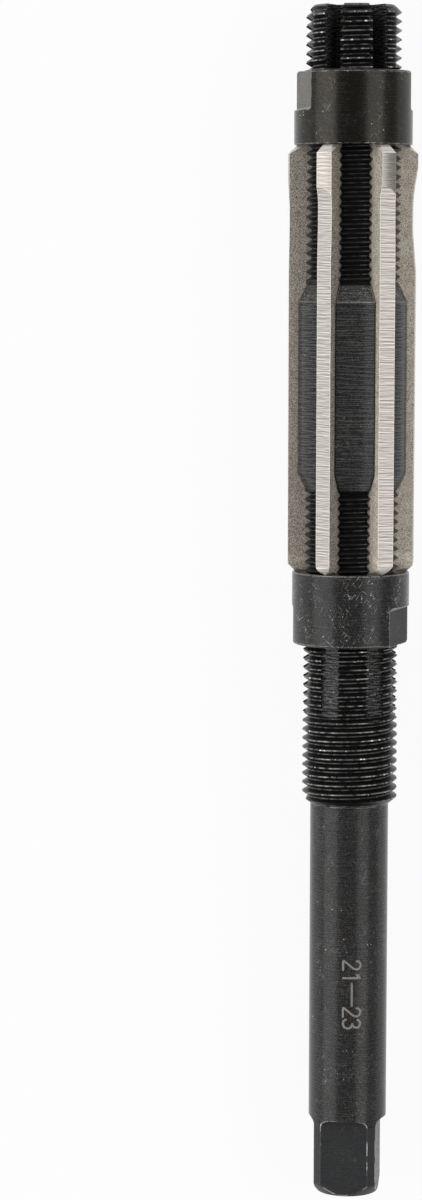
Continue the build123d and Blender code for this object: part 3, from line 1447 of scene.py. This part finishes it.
def smooth_line(points: Sequence[Corner], step: float) -> list[Corner]:
    """Samples a stroke evenly.

    Args:
        points: its corners.
        step: the distance between samples, about.

    Returns:
        The samples.
    """
    xs, ys = zip(*points)
    runs = [0.0] + list(np.cumsum([math.dist(a, b) for a, b in zip(points, points[1:])]))
    places = np.linspace(0.0, runs[-1], max(int(runs[-1] / step), 2) + 1)
    return list(zip(np.interp(places, runs, xs), np.interp(places, runs, ys)))


# Studio


@dataclass
class Strip:
    """A long soft lamp beside the tool."""

    name: str
    first: float
    last: float
    radiance: float
    distance: float = 0.9
    length: float = 2.2

    def build(self, place: Frame) -> None:
        """Hangs the lamp so that it fills the azimuths from first to last.

        Args:
            place: the tool's frame.
        """
        middle = math.radians((self.first + self.last) / 2)
        width = 2 * self.distance * math.tan(math.radians(abs(self.last - self.first) / 2))
        data = bpy.data.lights.new(self.name, "AREA")
        data.shape = "RECTANGLE"
        data.size = width
        data.size_y = self.length
        # A lamp's power spreads over pi times its area
        data.energy = self.radiance * math.pi * width * self.length
        lamp = bpy.data.objects.new(self.name, data)
        height = place.axis_height * MM
        lamp.location = (self.distance * math.sin(middle), 0.0, height + self.distance * math.cos(middle))
        lamp.rotation_euler = (0.0, middle, 0.0)
        bpy.context.scene.collection.objects.link(lamp)


@dataclass
class Studio:
    """Pale table, soft lamps and the camera."""

    place: Frame
    floor_size: float = 16.0
    floor_steps: int = 12
    focal_pixels: float = 3465.0
    frame_height: float = 1200.0
    sensor: float = 24.0
    camera_height: float = 581.0
    camera_station: float = 39.4
    camera_azimuth: float = -3.5
    pitch: float = 5.86
    yaw: float = -1.17
    roll: float = 0.13
    clip_start: float = 0.01
    # Degrees from overhead between which the sky turns from dark to pale
    dark_sky: Corner = (28.0, 60.0)
    pale_end: Corner = (0.5, 0.75)

    def floor(self) -> None:
        """The table that the tool lies on."""
        half = self.floor_size / 2
        marks = np.linspace(-half, half, self.floor_steps + 1)
        rows = [[Vector((x, y, 0.0)) for x in marks] for y in marks]
        floor = loft("table", rows, ring=False, closed=False)
        if floor.data.polygons[0].normal.z < 0:
            floor.data.flip_normals()
        dress(floor, [PaintedBoard("matt_white_board").build()])

    def world(self) -> None:
        """Soft surroundings, dark overhead along the tool and pale beyond its entry end."""
        world = bpy.data.worlds.new("soft_room")
        nodes = Nodes(world)
        parts = nodes.add("SeparateXYZ", {0: nodes.add("TexCoord").outputs["Generated"]}).outputs
        away = nodes.math("ABSOLUTE", nodes.math("ARCTAN2", parts[0], parts[2]))
        low, high = self.dark_sky
        colour = nodes.mix(nodes.between(away, math.radians(low), math.radians(high)), "#595959", "#949494")
        colour = nodes.mix(nodes.between(parts[1], *self.pale_end), colour, "#f4f4f4")
        light = nodes.out("Background", {"Color": colour, "Strength": 1.0})
        nodes.add("OutputWorld", {"Surface": light})
        bpy.context.scene.world = world

    def camera(self) -> None:
        """The camera, nearly straight above the tool."""
        data = bpy.data.cameras.new("camera")
        data.sensor_fit = "VERTICAL"
        data.sensor_height = self.sensor
        data.lens = self.focal_pixels / self.frame_height * self.sensor
        data.clip_start = self.clip_start
        camera = bpy.data.objects.new("camera", data)
        camera.location = self.place.point(self.camera_azimuth, self.camera_height, self.camera_station)
        camera.rotation_euler = (math.radians(-self.pitch), math.radians(self.yaw), math.radians(self.roll))
        bpy.context.scene.collection.objects.link(camera)
        bpy.context.scene.camera = camera

    def build(self) -> None:
        """Sets up the whole studio."""
        self.floor()
        self.world()
        Strip("left_strip", first=-82.0, last=-38.0, radiance=1.8).build(self.place)
        Strip("right_strip", first=22.0, last=56.0, radiance=1.5).build(self.place)
        self.camera()
        bpy.context.scene.view_settings.view_transform = "Standard"


# Assembly


def settle(piece: Piece, body: str, node: Optional[str]) -> None:
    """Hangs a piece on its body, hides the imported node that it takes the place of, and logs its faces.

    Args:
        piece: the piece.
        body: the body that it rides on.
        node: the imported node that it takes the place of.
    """
    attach(piece, body)
    if node is not None:
        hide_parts(node)
    LOG.info("%s: %d faces", piece.name, len(piece.data.polygons))


def bar_finishes(axis_height: float) -> list[Material]:
    """Makes the finishes of the bar.

    Args:
        axis_height: height of the axis in millimetres.

    Returns:
        The materials, in the order of BarFinish.
    """
    turned = BlackOxideSteel("turned_black_oxide_steel", mark_spacing=0.15, mark_contrast=0.6)
    # Slot walls: milled, and painted darker than the turned faces as the shade inside the slots
    slot = BlackOxideSteel(
        "milled_shaded_slot_steel", dark="#1b1b1c", brown="#1d1c1b", roughness=0.3, gloss=0.3, grained=1.0,
        speckle=0.5, mark_spacing=0.26, mark_length=1.5, mark_contrast=3.0, mark_depth=0.012,
        wear_and_highlight_limits=(0.6, 0.75),
    )
    square = BlackOxideSteel(
        "milled_square_steel", dark="#333436", brown="#343536", edge_wear_and_highlight="#f2f0ec", roughness=0.46, grained=0.2,
        speckle=0.1, specks=0.04, scratched=0.25, mark_contrast=0.3, mark_depth=0.0004,
        edge_radius=0.26, wear_and_highlight_patch=3.0, wear_and_highlight_limits=(0.5, 0.56),
    )
    thread = ThreadedSteel("burnished_thread_steel", axis_height)
    # A dimmer copy of the thread for between the blades: its crest and root lines and glints are painted
    # dimmer as the shade there
    shaded_thread = ThreadedSteel(
        "shaded_thread_steel", axis_height, dark="#181818", crest="#403f3e", root="#545351",
        painted_glint="#4e4d49", metal=0.3, gloss=0.35,
    )
    cone = BlackOxideSteel(
        "scuffed_cone_steel", dark="#303030", brown="#343230", roughness=0.34, grained=0.9, speckle=0.9,
        specks=0.8, mark_spacing=0.24, mark_length=3.0, mark_contrast=1.8, patch_limits=(0.36, 0.56),
        edge_radius=0.3, wear_and_highlight_limits=(0.3, 0.45), worn_and_lit_metal=0.5,
    )
    centre = BlackOxideSteel(
        "chattered_black_oxide_steel", speckle=0.2, specks=0.2, mark_spacing=0.22, mark_length=3.5,
        mark_depth=0.005, mark_contrast=2.2, wear_and_highlight_limits=(0.6, 0.75),
    )
    # Pale rim of the shoulder: partly rubbed wear, partly a painted highlight along the edge
    shoulder = BlackOxideSteel("lit_rubbed_shoulder_steel", dark="#85827f", brown="#6c6966", roughness=0.3)
    scoured = BlackOxideSteel(
        "scoured_square_steel", dark="#2e2f30", brown="#3a3a3a", edge_wear_and_highlight="#f2f0ec", roughness=0.42,
        speckle=1.0, specks=1.0, scratched=1.0, patch_limits=(0.36, 0.5), edge_radius=0.3,
        wear_and_highlight_limits=(0.3, 0.5),
    )
    finishes = (turned, slot, square, thread, shaded_thread, cone, centre, shoulder, scoured)
    return [finish.build() for finish in finishes]


def nut_finishes() -> dict[str, list[Material]]:
    """Makes the finishes of the nuts.

    Returns:
        Materials by the nut's node, in the order of NutFinish.
    """
    polished = {"mark_depth": 0.0005, "mark_contrast": 0.4, "edge_radius": 0.2, "worn_and_lit_metal": 0.5}
    oiled = BlackOxideSteel(
        "oiled_black_oxide_steel", dark="#33312d", brown="#35322c", metal=0.8, grained=0.3, speckle=0.25,
        specks=0.25, **polished,
    )
    handled = BlackOxideSteel(
        "handled_black_oxide_steel", dark="#2a2a2b", brown="#2c2b2a", gloss=0.3, grained=0.5, speckle=0.35,
        specks=0.8, scratched=0.8, patch_limits=(0.4, 0.58), wear_and_highlight_limits=(0.34, 0.5), **polished,
    )
    grey = BlackOxideSteel("rubbed_flat_steel", dark="#5c5852", brown="#665f57", roughness=0.46, speckle=0.7)
    black = BlackOxideSteel(
        "milled_flat_steel", dark="#262626", brown="#282726", roughness=0.5, gloss=0.1, metal=0.1
    )
    return {"front_nut": [oiled.build(), grey.build()], "rear_nut": [handled.build(), black.build()]}


def blade_finishes() -> dict[int, list[Material]]:
    """Makes the finishes of the blades, of which those in view differ in tone.

    Returns:
        Materials by the blade's number, in the order of BladeFinish.
    """
    cross_land, lighter_land, round_land, bevel, rear_bevel = [
        GroundSteel(name + "_blade_steel", **looks).build()
        for name, looks in (
            ("cross_ground", {}),
            ("lighter_ground", {"bright": "#cac2bc", "dull": "#908a85", "warm": "#bbb2aa"}),
            ("round_ground", {"dull": "#a59d92", "line_depth": 0.001, "roughness": 0.3}),
            ("bevelled", {"bright": "#ece7e0", "dull": "#cdc7c0", "roughness": 0.4, "metal": 0.5}),
            (
                "bevelled_rear",
                {"bright": "#e4ded7", "dull": "#c2bbb4", "warm": "#d8d1ca", "roughness": 0.5, "metal": 0.35},
            ),
        )
    ]
    blank = BlankSteel("tempered_blade_steel").build()
    # Blades 1 and 2 have lighter sides and lands, blade 6 darker sides
    special = {
        1: (BlankSteel("lighter_blade_steel", pale="#d3c9bb", film="#b0a596").build(), lighter_land),
        2: (BlankSteel("palest_blade_steel", pale="#e3d9ca", film="#bfb4a4").build(), lighter_land),
        6: (BlankSteel("darker_blade_steel", pale="#92887d", film="#776d62").build(), cross_land),
    }
    finishes = {}
    for number in range(1, BLADES + 1):
        side, land = special.get(number, (blank, cross_land))
        finishes[number] = [side, round_land, land, bevel, rear_bevel]
    return finishes


def main() -> None:
    """Builds the tool and the studio."""
    logging.basicConfig(level=logging.INFO, format="%(message)s")
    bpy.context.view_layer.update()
    place = Frame.read()

    bar = Bar(place)
    piece = bar.build()
    shade(piece, bar.sharp_angle)
    dress(piece, bar_finishes(place.axis_height), bar.finish_number)
    settle(piece, "reamer_body", "reamer_body")

    marks = SizeMarks(place).build()
    dress(marks, [EtchedSteel("engraved_steel").build()])
    settle(marks, "reamer_body", None)

    nut_materials = nut_finishes()
    front_nut = Nut(place, "front_nut", outwards=1, flat_azimuth=-79.0)
    rear_nut = Nut(place, "rear_nut", outwards=-1, flat_azimuth=68.5)
    for nut in (front_nut, rear_nut):
        piece = nut.build()
        shade(piece, nut.sharp_angle)
        dress(piece, nut_materials[nut.node], nut.finish_number)
        settle(piece, nut.node, nut.node)

    # Each blade was ground by hand, so the relief and the dip differ a little
    grinds = {
        1: Grind(relief_angle=11.0, dip_depth=0.1, front_land=8.0, wheel_radius=6.0),
        2: Grind(dip_depth=0.55),
        5: Grind(dip_depth=0.1),
        6: Grind(dip_depth=0.2, front_land=8.6, wheel_radius=8.0),
    }
    for number, materials in blade_finishes().items():
        node = f"blade_{number}"
        blade = Blade(place, number, place.span(node), grinds.get(number, Grind()))
        piece = blade.build()
        shade(piece, blade.sharp_angle)
        dress(piece, materials, blade.finish_number)
        settle(piece, node, node)

    Studio(place).build()


if __name__ == "__main__":
    main()
